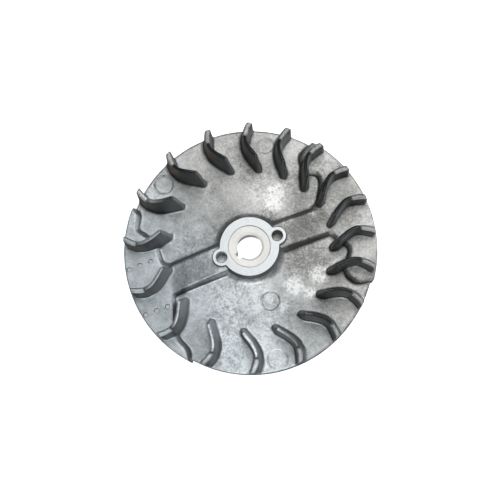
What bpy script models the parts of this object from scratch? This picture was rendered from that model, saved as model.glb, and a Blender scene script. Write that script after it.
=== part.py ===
"""Magneto fan flywheel of a small single-cylinder engine.

A die-cast aluminium wheel with curved fan blades on its front, a steel hub insert with a tapered
keyed bore, and a magnet group cast into one lobe: a magnet between two laminated pole shoes, each
held by three pins. The opposite lobe is the counterweight. The origin is on the spin axis, at the
plane of the back of the rim; the blades point up (+Z). Lengths below are in millimetres.
"""
import math

import bmesh
import bpy
from mathutils import Matrix, Vector

MM = 0.001
GAP = 0.3                 # clearance between pieces that touch in the real wheel

# Disc
DISC_RADIUS = 87.0
LOBE_RADIUS = 88.9        # the two lobes stand slightly proud of the disc's rim
RIM_Z = 16.0              # front face of the disc at its rim
WEB_RISE = 6.0            # how much the dished web climbs from the rim to the hub
WEB_THICKNESS = 5.5
SKIRT_WIDTH = 8.5         # radial thickness of the rim band behind the web
SKIRT_DRAFT = 1.5
RIM_ROUND = 1.2
DISC_STEPS = 72

# Hub
HUB_ANGLE = 21.3          # direction of the arms, puller holes and magnet group, degrees
HUB_RADIUS = 20.5
HUB_TOP_Z = 32.5
HUB_WALL_RUN = 3.2        # how far the hub's wall spreads from its face to the web
BOSS_RADIUS = 21.0
BOSS_Z = 6.0              # back face of the hub
INSERT_RADIUS = 14.7
INSERT_RECESS = 0.6
BORE_RADIUS = 8.45        # small end of the tapered bore, at the front
BORE_TAPER = 0.1          # radius gained per millimetre towards the back (1:5 on diameter)
BORE_CHAMFER = 1.6
KEY_ANGLE = 220.6
KEY_WIDTH = 4.8
KEY_DEPTH = 2.6
PULLER_PITCH_RADIUS = 20.6
PULLER_HOLE_RADIUS = 3.6
PULLER_HOLE_DEPTH = 12.0
PULLER_EAR_RADIUS = 6.0

# Arms and lobes
ARM_HALF_WIDTH = 8.5
ARM_DRAFT = 2.4
ARM_TOP = ((16.0, 28.6), (28.0, 27.4), (40.0, 24.9), (50.0, 22.5), (57.0, 20.9), (62.0, 20.1))
LOBE_Z = 20.4
LOBE_DRAFT = 1.2
# Inner edge of each lobe from one rim corner to the other: (degrees, fraction of the disc radius)
RIGHT_LOBE_EDGE = ((346.6, 1.022), (342.3, 0.90), (344.7, 0.80), (350.0, 0.775), (358.5, 0.815),
                   (2.9, 0.785), (4.4, 0.738), (12.7, 0.652), (10.6, 0.515), (33.4, 0.60),
                   (34.0, 0.66), (43.0, 0.80), (48.3, 0.835), (53.6, 0.782), (60.3, 0.83),
                   (62.0, 0.90), (59.4, 1.022))
LEFT_LOBE_EDGE = ((160.4, 1.022), (162.0, 0.95), (170.0, 0.945), (171.8, 0.875), (176.0, 0.77),
                  (192.3, 0.721), (189.4, 0.517), (210.2, 0.60), (210.0, 0.72), (217.0, 0.762),
                  (229.8, 0.925), (238.5, 0.945), (241.6, 1.022))
LOBE_CORNER = 8.5         # rounding of the lobe's inner corners
CORNER_STEPS = 2

# Fan blades: path of the top ridge from the rim inwards (fraction of radius, degrees from the tip)
BLADE_COUNT = 18
BLADE_PATH = ((1.0, 0.0), (0.945, 1.5), (0.897, 2.3), (0.881, 2.35), (0.835, 2.1),
              (0.785, 0.5), (0.74, -1.9), (0.699, -4.75), (0.666, -6.1), (0.641, -6.7))
BLADE_TOP = (37.0, 36.4, 35.8, 39.8, 41.6, 43.6, 45.2, 46.6, 32.0, 19.0)
BLADE_TOP_HALF = (1.9, 1.9, 1.8, 1.2, 1.2, 1.2, 1.2, 1.1, 0.9, 0.6)
BLADE_SPREAD = (0.85, 0.85, 0.9, 1.0, 1.0, 1.05, 1.1, 1.1, 0.9, 0.45)   # share of the left run below
BLADE_NARROWING = (0.8, 0.8, 0.85, 1.0, 1.0, 1.0, 1.0, 1.0, 0.75, 0.3)   # and of the right run
BLADE_RUN_CW = 1.5        # how far each wall spreads from the ridge to its foot
BLADE_RUN_CCW = 4.0
BLADE_FOOT = 3.0          # height of the fillet at the foot
BLADE_FOOT_SHARE = 0.55   # part of the spread that lies in the fillet
# The blades crowd together opposite the magnets: blade k sits at this sum of a row and a sine
BLADE_START = 1.5
BLADE_SHIFT = 11.95
BLADE_PHASE = 24.5

# Magnet group, measured along and across the line from the axis through the magnet lobe
GROUP_ANGLE = 200.9
SHOE_INNER_U = 64.5
SHOE_NEAR_V = 11.5
SHOE_FAR_V = 21.5
SHOE_CHAMFER = 3.0
LAMINATION_COUNT = 8
LAMINATION_THICKNESS = 1.2
STACK_Z = 4.2
PIN_RADIUS = 1.5
PIN_U = (68.1, 76.2, 84.2)
PIN_V = 17.0
PIN_BOTTOM_Z = 0.8
PIN_TOP_Z = 19.4
MAGNET_U = (65.2, 73.2)
MAGNET_HALF_LENGTH = 11.2
WINDOW_U = (66.5, 72.0)
WINDOW_HALF_LENGTH = 7.5

# Back of the wheel
RIB_COUNT = 6
RIB_HALF_WIDTH = 1.8
RIB_Z = 8.5
BALANCE_HOLE_RADIUS = 3.0
BALANCE_HOLES = ((12.0, 76.0), (24.0, 78.5), (36.0, 76.0))   # degrees, radius
BALANCE_DEPTH = 6.0

STACK_PITCH = LAMINATION_THICKNESS + GAP
STACK_TOP_Z = STACK_Z + LAMINATION_COUNT * STACK_PITCH - GAP


def start_collections():
    """Empty the scene and make one collection for the parts and one for the cutters."""
    for old in list(bpy.data.objects):
        bpy.data.objects.remove(old, do_unlink=True)
    made = []
    for name in ("flywheel", "cutters"):
        collection = bpy.data.collections.new(name)
        bpy.context.scene.collection.children.link(collection)
        made.append(collection)
    return made


def material(name, colour, roughness, metallic):
    made = bpy.data.materials.new(name)
    made.use_nodes = True
    shader = made.node_tree.nodes["Principled BSDF"]
    shader.inputs["Base Color"].default_value = (*colour, 1.0)
    shader.inputs["Roughness"].default_value = roughness
    shader.inputs["Metallic"].default_value = metallic
    made.diffuse_color = (*colour, 1.0)
    return made


def object_from(bm, name, collection, surface=None):
    bmesh.ops.recalc_face_normals(bm, faces=bm.faces)
    mesh = bpy.data.meshes.new(name)
    bm.to_mesh(mesh)
    bm.free()
    made = bpy.data.objects.new(name, mesh)
    collection.objects.link(made)
    if surface:
        mesh.materials.append(surface)
    else:
        made.hide_render = True
        made.display_type = "WIRE"
    return made


def polar(degrees, radius):
    angle = math.radians(degrees)
    return Vector((radius * math.cos(angle), radius * math.sin(angle)))


def in_direction(angle, u, v):
    """Point at u along a direction and v to its left."""
    return Matrix.Rotation(math.radians(angle), 2) @ Vector((u, v))


def web_front(radius):
    """Height of the web's front face: dished, highest beside the hub."""
    share = (DISC_RADIUS - radius) / (DISC_RADIUS - HUB_RADIUS)
    return RIM_Z + WEB_RISE * max(share, 0.0) ** 2


def loft(bm, rings):
    """Skin closed rings of equal length, given as lists of (x, y, z) in millimetres, and cap them."""
    rows = [[bm.verts.new(Vector(point) * MM) for point in ring] for ring in rings]
    count = len(rows[0])
    for low, high in zip(rows, rows[1:]):
        for i in range(count):
            j = (i + 1) % count
            bm.faces.new((low[i], low[j], high[j], high[i]))
    bm.faces.new(reversed(rows[0]))
    bm.faces.new(rows[-1])


def prism(bm, outline, low, high):
    loft(bm, [[(p.x, p.y, z) for p in outline] for z in (low, high)])


def cylinder(bm, centre, radius, low, high, steps=24):
    prism(bm, [centre + polar(360 * i / steps, radius) for i in range(steps)], low, high)


def turned(name, profile, steps, collection, surface=None):
    """Turn a closed profile of (radius, z) about Z with a Screw modifier."""
    bm = bmesh.new()
    verts = [bm.verts.new((radius * MM, 0, z * MM)) for radius, z in profile]
    for a, b in zip(verts, verts[1:] + verts[:1]):
        bm.edges.new((a, b))
    made = object_from(bm, name, collection, surface)
    screw = made.modifiers.new("turn", "SCREW")
    screw.steps = steps
    screw.render_steps = steps
    screw.use_merge_vertices = True
    screw.merge_threshold = 0.00001
    return made


def combine(target, other, operation):
    step = target.modifiers.new(other.name, "BOOLEAN")
    step.operation = operation
    step.object = other
    step.solver = "EXACT"


def corners_rounded(points, reach, steps):
    """An open line with each inner corner replaced by a short parabola."""
    line = [points[0]]
    for before, corner, after in zip(points, points[1:], points[2:]):
        leave = corner.lerp(before, min(0.45, reach / (corner - before).length))
        enter = corner.lerp(after, min(0.45, reach / (corner - after).length))
        for i in range(steps + 1):
            t = i / steps
            line.append(leave.lerp(corner, t).lerp(corner.lerp(enter, t), t))
    line.append(points[-1])
    return line


def shifted_left(line, distance):
    moved = []
    for i, point in enumerate(line):
        along = line[min(i + 1, len(line) - 1)] - line[max(i - 1, 0)]
        left = Vector((-along.y, along.x)).normalized()
        moved.append(point + left * distance)
    return moved


def lobe_outline(edge, growth):
    """The lobe's outline, its inner edge moved outwards by growth, closed by the rim's arc."""
    corners = [polar(angle, share * DISC_RADIUS) for angle, share in edge]
    line = shifted_left(corners_rounded(corners, LOBE_CORNER, CORNER_STEPS), growth)
    first = math.degrees(math.atan2(line[0].y, line[0].x))
    last = math.degrees(math.atan2(line[-1].y, line[-1].x))
    sweep = (last - first) % 360
    line[0] = polar(first, LOBE_RADIUS)
    line[-1] = polar(last, LOBE_RADIUS)
    steps = 16
    arc = [polar(last - sweep * i / steps, LOBE_RADIUS) for i in range(1, steps)]
    return line + arc


def lobe(name, edge, collection):
    """A block over the full depth of the wheel, its front wall leaning in."""
    levels = ((0.0, LOBE_DRAFT), (RIM_Z - 1.0, LOBE_DRAFT), (LOBE_Z, -LOBE_DRAFT))
    bm = bmesh.new()
    rings = []
    for z, growth in levels:
        rings.append([(p.x, p.y, z) for p in lobe_outline(edge, growth)])
    loft(bm, rings)
    return object_from(bm, name, collection)


def arms(collection):
    """Two tapering bands from the hub out into the lobes."""
    bm = bmesh.new()
    for angle in (HUB_ANGLE, HUB_ANGLE + 180):
        rings = []
        for along, top in ARM_TOP:
            foot = web_front(along) - 2.0
            section = ((-ARM_HALF_WIDTH - ARM_DRAFT, foot), (ARM_HALF_WIDTH + ARM_DRAFT, foot),
                       (ARM_HALF_WIDTH, top), (-ARM_HALF_WIDTH, top))
            rings.append([(*in_direction(angle, along, v), z) for v, z in section])
        loft(bm, rings)
    return object_from(bm, "arm_bands", collection)


def blade_angle(index):
    step = 360 / BLADE_COUNT * index
    return BLADE_START + step - BLADE_SHIFT * math.sin(math.radians(step - BLADE_PHASE))


def blade_rings(index):
    """Cross-sections of one blade from its tip inwards: foot, fillet and ridge on both sides."""
    turn = blade_angle(index)
    ridge = [polar(turn + offset, share * DISC_RADIUS) for share, offset in BLADE_PATH]
    rings = []
    for i, point in enumerate(ridge):
        inwards = ridge[min(i + 1, len(ridge) - 1)] - ridge[i - 1] if i else -point
        clockwise = Vector((-inwards.y, inwards.x)).normalized()
        foot = web_front(point.length) - 1.5
        knee = web_front(point.length) + BLADE_FOOT
        top = BLADE_TOP[i]
        knee = min(knee, top - 1.0)
        half = BLADE_TOP_HALF[i]
        right = BLADE_RUN_CW * BLADE_NARROWING[i]
        left = BLADE_RUN_CCW * BLADE_SPREAD[i]
        upper = 1.0 - BLADE_FOOT_SHARE
        section = ((half + right, foot), (half + right * upper, knee), (half, top),
                   (-half, top), (-half - left * upper, knee), (-half - left, foot))
        rings.append([(*(point + clockwise * side), z) for side, z in section])
    return rings


def blades(collection):
    bm = bmesh.new()
    for index in range(BLADE_COUNT):
        loft(bm, blade_rings(index))
    return object_from(bm, "fan_blades", collection)


def disc_profile():
    """Ring section of hub, web, skirt and boss, clockwise from the edge of the hub face."""
    inner = BORE_RADIUS
    wall_foot = HUB_RADIUS + HUB_WALL_RUN
    profile = [(inner, HUB_TOP_Z), (HUB_RADIUS - 0.4, HUB_TOP_Z), (HUB_RADIUS, HUB_TOP_Z - 0.4),
               (HUB_RADIUS + 0.35 * HUB_WALL_RUN, web_front(wall_foot) + 2.5),
               (wall_foot, web_front(wall_foot))]
    for radius in (32.0, 42.0, 54.0, 68.0):
        profile.append((radius, web_front(radius)))
    profile += [(DISC_RADIUS - RIM_ROUND, web_front(DISC_RADIUS)),
                (DISC_RADIUS, RIM_Z - RIM_ROUND), (DISC_RADIUS, RIM_ROUND),
                (DISC_RADIUS - RIM_ROUND, 0.0)]
    skirt = DISC_RADIUS - SKIRT_WIDTH
    profile += [(skirt + SKIRT_DRAFT, 0.0), (skirt, web_front(skirt) - WEB_THICKNESS - 2.0),
                (skirt - 2.0, web_front(skirt) - WEB_THICKNESS)]
    for radius in (60.0, 42.0):
        profile.append((radius, web_front(radius) - WEB_THICKNESS))
    profile += [(BOSS_RADIUS + 4.0, web_front(BOSS_RADIUS + 4.0) - WEB_THICKNESS),
                (BOSS_RADIUS + 1.0, web_front(BOSS_RADIUS) - WEB_THICKNESS - 2.5),
                (BOSS_RADIUS, BOSS_Z), (inner, BOSS_Z)]
    return profile


def puller_ears(collection):
    bm = bmesh.new()
    for angle in (HUB_ANGLE, HUB_ANGLE + 180):
        centre = polar(angle, PULLER_PITCH_RADIUS)
        rings = []
        for growth, z in ((1.2, RIM_Z + 1.5), (0.0, HUB_TOP_Z)):
            circle = [centre + polar(15 * i, PULLER_EAR_RADIUS + growth) for i in range(24)]
            rings.append([(p.x, p.y, z) for p in circle])
        loft(bm, rings)
    return object_from(bm, "puller_ears", collection)


def insert_seat(collection):
    """Core of the casting that the steel insert fills."""
    bm = bmesh.new()
    cylinder(bm, Vector((0, 0)), INSERT_RADIUS + GAP, BOSS_Z - 1.0, HUB_TOP_Z + 1.0, DISC_STEPS)
    return object_from(bm, "insert_seat", collection)


def back_ribs(collection):
    bm = bmesh.new()
    low, high = BOSS_RADIUS - 1.0, DISC_RADIUS - SKIRT_WIDTH + 1.0
    for index in range(RIB_COUNT):
        angle = HUB_ANGLE + 90 + 360 / RIB_COUNT * (index - RIB_COUNT / 2)
        corners = ((low, -RIB_HALF_WIDTH), (high, -RIB_HALF_WIDTH), (high, RIB_HALF_WIDTH),
                   (low, RIB_HALF_WIDTH))
        outline = [in_direction(angle, u, v) for u, v in corners]
        prism(bm, outline, RIB_Z, RIM_Z - 3.0)
    return object_from(bm, "back_ribs", collection)


def shoe_outline(side, growth, overrun):
    """Pole shoe seen from the front, side +1 or -1, its outer face following the rim."""
    near, far = SHOE_NEAR_V - growth, SHOE_FAR_V + growth
    inner = SHOE_INNER_U - growth
    chamfer = SHOE_CHAMFER
    steps = 5
    points = [(inner, near)]
    for i in range(steps + 1):
        v = near + (far - near) * i / steps
        points.append((math.sqrt(LOBE_RADIUS ** 2 - v ** 2) + overrun, v))
    points += [(inner + chamfer, far), (inner, far - chamfer)]
    return [in_direction(GROUP_ANGLE, u, side * v) for u, v in points[::side]]


def pin_places():
    for side, label in ((-1, "a"), (1, "b")):
        for number, u in enumerate(PIN_U, 1):
            yield f"{label}_{number}", in_direction(GROUP_ANGLE, u, -side * PIN_V)


def magnet_outline(u_range, half_length):
    corners = ((u_range[0], -half_length), (u_range[1], -half_length),
               (u_range[1], half_length), (u_range[0], half_length))
    return [in_direction(GROUP_ANGLE, u, v) for u, v in corners]


def group_cutters(collection):
    """Pockets for the pole shoes and the magnet, the magnet's window and the pin holes."""
    made = []
    low, high = STACK_Z - GAP, STACK_TOP_Z + GAP
    for side in (-1, 1):
        bm = bmesh.new()
        prism(bm, shoe_outline(side, GAP, 4.0), low, high)
        made.append(object_from(bm, f"shoe_pocket_{side + 2}", collection))
    bm = bmesh.new()
    grown = (MAGNET_U[0] - GAP, MAGNET_U[1] + GAP)
    prism(bm, magnet_outline(grown, SHOE_NEAR_V + 1.0), low, high)
    made.append(object_from(bm, "magnet_pocket", collection))
    bm = bmesh.new()
    prism(bm, magnet_outline(WINDOW_U, WINDOW_HALF_LENGTH), -1.0, STACK_Z + 1.0)
    for _, centre in pin_places():
        cylinder(bm, centre, PIN_RADIUS + GAP, -1.0, LOBE_Z + 1.0, 16)
    made.append(object_from(bm, "window_and_pin_holes", collection))
    return made


def drilled_cutter(collection):
    bm = bmesh.new()
    for angle in (HUB_ANGLE, HUB_ANGLE + 180):
        centre = polar(angle, PULLER_PITCH_RADIUS)
        cylinder(bm, centre, PULLER_HOLE_RADIUS, HUB_TOP_Z - PULLER_HOLE_DEPTH, HUB_TOP_Z + 1.0)
    for angle, radius in BALANCE_HOLES:
        cylinder(bm, polar(angle, radius), BALANCE_HOLE_RADIUS, -1.0, BALANCE_DEPTH)
    return object_from(bm, "drilled_holes", collection)


def make_casting(parts, cutters, surface):
    casting = turned("flywheel_casting", disc_profile(), DISC_STEPS, parts, surface)
    combine(casting, lobe("counterweight_lobe", RIGHT_LOBE_EDGE, cutters), "UNION")
    combine(casting, lobe("magnet_lobe", LEFT_LOBE_EDGE, cutters), "UNION")
    combine(casting, arms(cutters), "UNION")
    combine(casting, puller_ears(cutters), "UNION")
    combine(casting, back_ribs(cutters), "UNION")
    combine(casting, blades(cutters), "UNION")
    combine(casting, insert_seat(cutters), "DIFFERENCE")
    for cutter in group_cutters(cutters):
        combine(casting, cutter, "DIFFERENCE")
    combine(casting, drilled_cutter(cutters), "DIFFERENCE")


def make_hub_insert(parts, cutters, surface):
    top = HUB_TOP_Z - INSERT_RECESS
    back_radius = BORE_RADIUS + BORE_TAPER * (top - BOSS_Z)
    profile = [(BORE_RADIUS + BORE_CHAMFER, top), (INSERT_RADIUS - 0.5, top),
               (INSERT_RADIUS, top - 0.5), (INSERT_RADIUS, BOSS_Z + 0.5),
               (INSERT_RADIUS - 0.5, BOSS_Z), (back_radius, BOSS_Z),
               (BORE_RADIUS, top - BORE_CHAMFER)]
    insert = turned("hub_insert", profile, 64, parts, surface)
    bm = bmesh.new()
    corners = ((4.0, -KEY_WIDTH / 2), (BORE_RADIUS + KEY_DEPTH, -KEY_WIDTH / 2),
               (BORE_RADIUS + KEY_DEPTH, KEY_WIDTH / 2), (4.0, KEY_WIDTH / 2))
    outline = [in_direction(KEY_ANGLE, u, v) for u, v in corners]
    prism(bm, outline, BOSS_Z - 1.0, HUB_TOP_Z + 1.0)
    combine(insert, object_from(bm, "key_cutter", cutters), "DIFFERENCE")


def make_laminations(parts, cutters, surface):
    bm = bmesh.new()
    for _, centre in pin_places():
        cylinder(bm, centre, PIN_RADIUS + GAP, 0.0, LOBE_Z, 12)
    holes = object_from(bm, "lamination_holes", cutters)
    for side, label in ((1, "a"), (-1, "b")):
        for layer in range(LAMINATION_COUNT):
            low = STACK_Z + layer * STACK_PITCH
            bm = bmesh.new()
            prism(bm, shoe_outline(side, 0.0, 0.0), low, low + LAMINATION_THICKNESS)
            plate = object_from(bm, f"pole_shoe_{label}_lamination_{layer + 1}", parts, surface)
            combine(plate, holes, "DIFFERENCE")


def make_magnet(parts, surface):
    bm = bmesh.new()
    prism(bm, magnet_outline(MAGNET_U, MAGNET_HALF_LENGTH), STACK_Z, STACK_TOP_Z)
    magnet = object_from(bm, "ignition_magnet", parts, surface)
    edges = magnet.modifiers.new("edges", "BEVEL")
    edges.width = 0.5 * MM
    edges.segments = 1


def make_pins(parts, surface):
    for name, centre in pin_places():
        bm = bmesh.new()
        cylinder(bm, centre, PIN_RADIUS, PIN_BOTTOM_Z, PIN_TOP_Z, 16)
        object_from(bm, f"pole_shoe_pin_{name}", parts, surface)


def shade_round(collection):
    for made in collection.objects:
        made.data.shade_smooth()
        made.data.set_sharp_from_angle(angle=math.radians(30))


def main():
    parts, cutters = start_collections()
    aluminium = material("cast_aluminium", (0.62, 0.64, 0.65), 0.45, 0.9)
    steel = material("hub_steel", (0.72, 0.71, 0.68), 0.3, 1.0)
    iron = material("lamination_steel", (0.30, 0.30, 0.31), 0.45, 1.0)
    ferrite = material("magnet_black", (0.06, 0.06, 0.065), 0.6, 0.2)
    make_casting(parts, cutters, aluminium)
    make_hub_insert(parts, cutters, steel)
    make_laminations(parts, cutters, iron)
    make_magnet(parts, ferrite)
    make_pins(parts, steel)
    shade_round(parts)


main()
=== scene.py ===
"""Looks of the magneto fan flywheel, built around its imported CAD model.

The casting is modelled again at a fine scale from the CAD's driving dimensions, as a foundry makes
it: the rough casting is joined and softened, marks are pressed into it, and the machined seats,
holes and faces are then cut sharp. Lengths are in millimetres until a mesh is made.
"""
import math

import bmesh
import bpy
import numpy as np
from mathutils import Matrix, Vector, noise


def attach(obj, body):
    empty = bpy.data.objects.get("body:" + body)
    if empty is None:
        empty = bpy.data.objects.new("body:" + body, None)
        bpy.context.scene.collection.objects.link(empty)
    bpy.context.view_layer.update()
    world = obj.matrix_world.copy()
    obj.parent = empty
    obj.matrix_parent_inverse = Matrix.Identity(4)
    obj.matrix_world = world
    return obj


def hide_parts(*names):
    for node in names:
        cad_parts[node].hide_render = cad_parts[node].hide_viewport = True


MM = 0.001
AXIS = Vector((0.0, 0.0))

# Driving dimensions of the wheel, as in the CAD model. Its axis is Z, its back is at z = 0.
DISC_RADIUS = 87.0
LOBE_RADIUS = 88.9
RIM_Z = 16.0
WEB_RISE = 6.0
WEB_INNER_RADIUS = 20.2
WEB_THICKNESS = 5.5
SKIRT_WIDTH = 8.5
SKIRT_DRAFT = 1.5
RIM_ROUND = 1.2
HUB_ANGLE = 21.3
BOTH_WAYS = (HUB_ANGLE, HUB_ANGLE + 180)
HUB_RADIUS = 20.5
HUB_TOP_Z = 32.5
HUB_WALL_RUN = 3.2
BOSS_RADIUS = 21.0
BOSS_Z = 6.0
INSERT_RADIUS = 14.7
INSERT_RECESS = 0.6
INSERT_EDGE = 0.5
CORE_RADIUS = 4.0         # inside the bore, where no metal is left
BORE_RADIUS = 8.45
BORE_TAPER = 0.1
BORE_CHAMFER = 1.6
BORE_BACK_EDGE = 0.4
KEY_ANGLE = 220.6
KEY_WIDTH = 4.8
KEY_DEPTH = 2.6
PULLER_PITCH_RADIUS = 20.6
PULLER_HOLE_RADIUS = 3.6
PULLER_HOLE_DEPTH = 12.0
PULLER_EAR_RADIUS = 6.0
PULLER_EAR_DRAFT = 1.2
ARM_HALF_WIDTH = 8.5
ARM_DRAFT = 2.4
# Height of an arm's top at distances from the axis
ARM_TOP = ((16.0, 28.6), (28.0, 27.4), (40.0, 24.9), (50.0, 22.5), (57.0, 20.9), (62.0, 20.1))
LOBE_Z = 20.4
LOBE_DRAFT = 1.2
LOBE_CORNER = 8.5
# Edges of the lobes from rim to rim: (degrees, share of the disc's radius)
RIGHT_LOBE_EDGE = ((346.6, 1.022), (342.3, 0.90), (344.7, 0.80), (350.0, 0.775), (358.5, 0.815),
                   (2.9, 0.785), (4.4, 0.738), (12.7, 0.652), (10.6, 0.515), (33.4, 0.60),
                   (34.0, 0.66), (43.0, 0.80), (48.3, 0.835), (53.6, 0.782), (60.3, 0.83),
                   (62.0, 0.90), (59.4, 1.022))
LEFT_LOBE_EDGE = ((160.4, 1.022), (162.0, 0.95), (170.0, 0.945), (171.8, 0.875), (176.0, 0.77),
                  (192.3, 0.721), (189.4, 0.517), (210.2, 0.60), (210.0, 0.72), (217.0, 0.762),
                  (229.8, 0.925), (238.5, 0.945), (241.6, 1.022))
BLADE_COUNT = 18
# Ridge of a blade from its tip inwards: (share of the disc's radius, degrees from the tip).
# The lists after it say, for each of its points: the ridge's height and half width, and how far
# the counterclockwise and the clockwise wall spread, as shares of their runs.
BLADE_PATH = ((1.0, 0.0), (0.945, 1.5), (0.897, 2.3), (0.881, 2.35), (0.835, 2.1),
              (0.785, 0.5), (0.74, -1.9), (0.699, -4.75), (0.666, -6.1), (0.641, -6.7))
BLADE_TOP = (37.0, 36.4, 35.8, 39.8, 41.6, 43.6, 45.2, 46.6, 32.0, 19.0)
BLADE_TOP_HALF = (1.9, 1.9, 1.8, 1.2, 1.2, 1.2, 1.2, 1.1, 0.9, 0.6)
BLADE_SPREAD = (0.85, 0.85, 0.9, 1.0, 1.0, 1.05, 1.1, 1.1, 0.9, 0.45)
BLADE_NARROWING = (0.8, 0.8, 0.85, 1.0, 1.0, 1.0, 1.0, 1.0, 0.75, 0.3)
BLADE_RUN_CW = 1.5
BLADE_RUN_CCW = 4.0
BLADE_FOOT = 3.0
BLADE_START = 1.5
BLADE_SHIFT = 11.95
BLADE_PHASE = 24.5
# The magnet group: u runs from the axis along this direction, v to its left
GROUP_ANGLE = 200.9
SHOE_INNER_U = 64.5
SHOE_NEAR_V = 11.5
SHOE_FAR_V = 21.5
SHOE_CHAMFER = 3.0
STACK_Z = 4.2
STACK_TOP_Z = 15.9
PIN_RADIUS = 1.5
PIN_U = (68.1, 76.2, 84.2)
PIN_V = 17.0
MAGNET_U = (65.2, 73.2)
WINDOW_U = (66.5, 72.0)
WINDOW_HALF_LENGTH = 7.5
RIB_COUNT = 6
RIB_HALF_WIDTH = 1.8
RIB_DRAFT = 0.4
RIB_Z = 8.5
BALANCE_HOLE_RADIUS = 3.0
BALANCE_HOLES = ((12.0, 76.0), (24.0, 78.5), (36.0, 76.0))     # (degrees, distance from the axis)
BALANCE_DEPTH = 6.0
GAP = 0.3
SEAT_GAP = 0.04           # the insert is cast in, so its joint shows only as a line

# Fineness of the visual model
DISC_STEPS = 240
CAST_VOXEL = 0.5
SOFTEN_ROUNDS = 4
FILLET_ROUNDS = 13
FOOT_FLARE = 1.1          # spread of the cast fillet at the foot of hub, arms and lobes
FACING_STOCK = 0.5        # left on the hub face by the casting, then faced off
FACING_RADIUS = 30.0      # past the hub and its ears
SOFTEN_FACTOR = 0.5
FILLET_TOP_Z = 25.0       # the fillets at the foot of everything on the web end here
FILLET_FADE = 2.0
BLADE_SPANS = 4           # cross-sections per stretch of BLADE_PATH
BLADE_SHOULDER = 0.8      # depth of the rounding beside a blade's ridge
FOOT_BURIED = 1.5         # how far a blade reaches down into the web
SKIN_WAVES = ((9.0, 0.06), (3.5, 0.03))   # size and height of the cast skin's unevenness
SIZE_MARGIN = 0.02        # kept between the softened lobes and their real radius
TURNED_RINGS = 24         # on the insert's face
TURNED_DEPTH = 0.05
CUT_CLEARANCE = 1.0       # cutters reach this far past the faces they open
RIM_OVERRUN = 4.0         # and the pole shoes' rooms this far past the rim
CASTING_SHARP_DEGREES = 45.0
INSERT_SHARP_DEGREES = 30.0

# Marks pressed into the front, as (x, y, radius, depth of the ring line)
EJECTOR_MARKS = ((-62.3, 47.7, 6.5, 0.4), (18.8, -77.0, 6.8, 0.4), (12.0, 25.3, 3.4, 0.25),
                 (10.5, 76.0, 5.5, 0.25))
STAMP_MARK = (14.0, -36.6, 6.1, 0.7)
MARKS_BELOW_Z = 30.0
MARK_LINE_WIDTH = 0.45
MARK_DISH = 0.35          # depth of the sunk middle, as a share of the ring line's
MARK_DISH_FADE = 0.3

# Camera at the photograph's viewing angle, in metres
CAMERA_PLACE = (0.0266, -0.1126, 0.7023)
CAMERA_LEAN_X = -0.0391   # how far the wheel's axis leans across and up the picture
CAMERA_LEAN_Y = 0.1618
CAMERA_LENS = 71.139
CAMERA_SENSOR = 36.0
CAMERA_NEAR = 0.01


def polar(degrees, radius):
    angle = math.radians(degrees)
    return Vector((radius * math.cos(angle), radius * math.sin(angle)))


def in_direction(angle, u, v):
    """Point at u along a direction and v to its left."""
    return Matrix.Rotation(math.radians(angle), 2) @ Vector((u, v))


def web_front(radius):
    """Height of the web's front face: dished, highest beside the hub."""
    share = (DISC_RADIUS - radius) / (DISC_RADIUS - WEB_INNER_RADIUS)
    return RIM_Z + WEB_RISE * max(share, 0.0) ** 2


def web_back(radius):
    return web_front(radius) - WEB_THICKNESS


def object_from(bm, name):
    """Make an object from a finished bmesh and free it."""
    bmesh.ops.recalc_face_normals(bm, faces=bm.faces)
    mesh = bpy.data.meshes.new(name)
    bm.to_mesh(mesh)
    bm.free()
    made = bpy.data.objects.new(name, mesh)
    bpy.context.scene.collection.objects.link(made)
    return made


def loft(bm, rings):
    """Skin closed rings of equal length, given as lists of (x, y, z), and cap them."""
    rows = [[bm.verts.new(Vector(point) * MM) for point in ring] for ring in rings]
    count = len(rows[0])
    for low, high in zip(rows, rows[1:]):
        for i in range(count):
            j = (i + 1) % count
            bm.faces.new((low[i], low[j], high[j], high[i]))
    bm.faces.new(reversed(rows[0]))
    bm.faces.new(rows[-1])


def prism(bm, outline, low, high):
    """Raise an outline of vectors between two heights."""
    loft(bm, [at_height(outline, z) for z in (low, high)])


def circle(centre, radius, steps=48):
    return [centre + polar(360 * i / steps, radius) for i in range(steps)]


def at_height(outline, z):
    return [(p.x, p.y, z) for p in outline]


def cylinder(bm, centre, radius, low, high, steps=48):
    prism(bm, circle(centre, radius, steps), low, high)


def countersunk(bm, centre, radius, low, high, chamfer):
    """A drill with a countersink that ends at height high, and a clear stretch above it."""
    levels = ((low, radius), (high - chamfer, radius), (high, radius + chamfer),
              (high + 2 * CUT_CLEARANCE, radius + chamfer))
    loft(bm, [at_height(circle(centre, wide), z) for z, wide in levels])


def turned(name, profile, steps):
    """Turn a closed profile of (radius, z) about Z."""
    bm = bmesh.new()
    verts = [bm.verts.new((radius * MM, 0, z * MM)) for radius, z in profile]
    edges = [bm.edges.new((a, b)) for a, b in zip(verts, verts[1:] + verts[:1])]
    bmesh.ops.spin(bm, geom=verts + edges, axis=(0, 0, 1), cent=(0, 0, 0),
                   steps=steps, angle=math.tau, use_merge=True)
    bmesh.ops.remove_doubles(bm, verts=bm.verts, dist=0.01 * MM)
    return object_from(bm, name)


def bake_modifiers(made):
    """Replace an object's mesh with its evaluated one and drop the modifiers."""
    bpy.context.view_layer.update()
    evaluated = made.evaluated_get(bpy.context.evaluated_depsgraph_get())
    mesh = bpy.data.meshes.new_from_object(evaluated)
    made.modifiers.clear()
    made.data = mesh
    return made


def combine(target, other, operation):
    """Join or cut with another closed object, which is then removed."""
    step = target.modifiers.new(other.name, "BOOLEAN")
    step.operation = operation
    step.object = other
    step.solver = "MANIFOLD"
    bake_modifiers(target)
    bpy.data.objects.remove(other, do_unlink=True)


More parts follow.
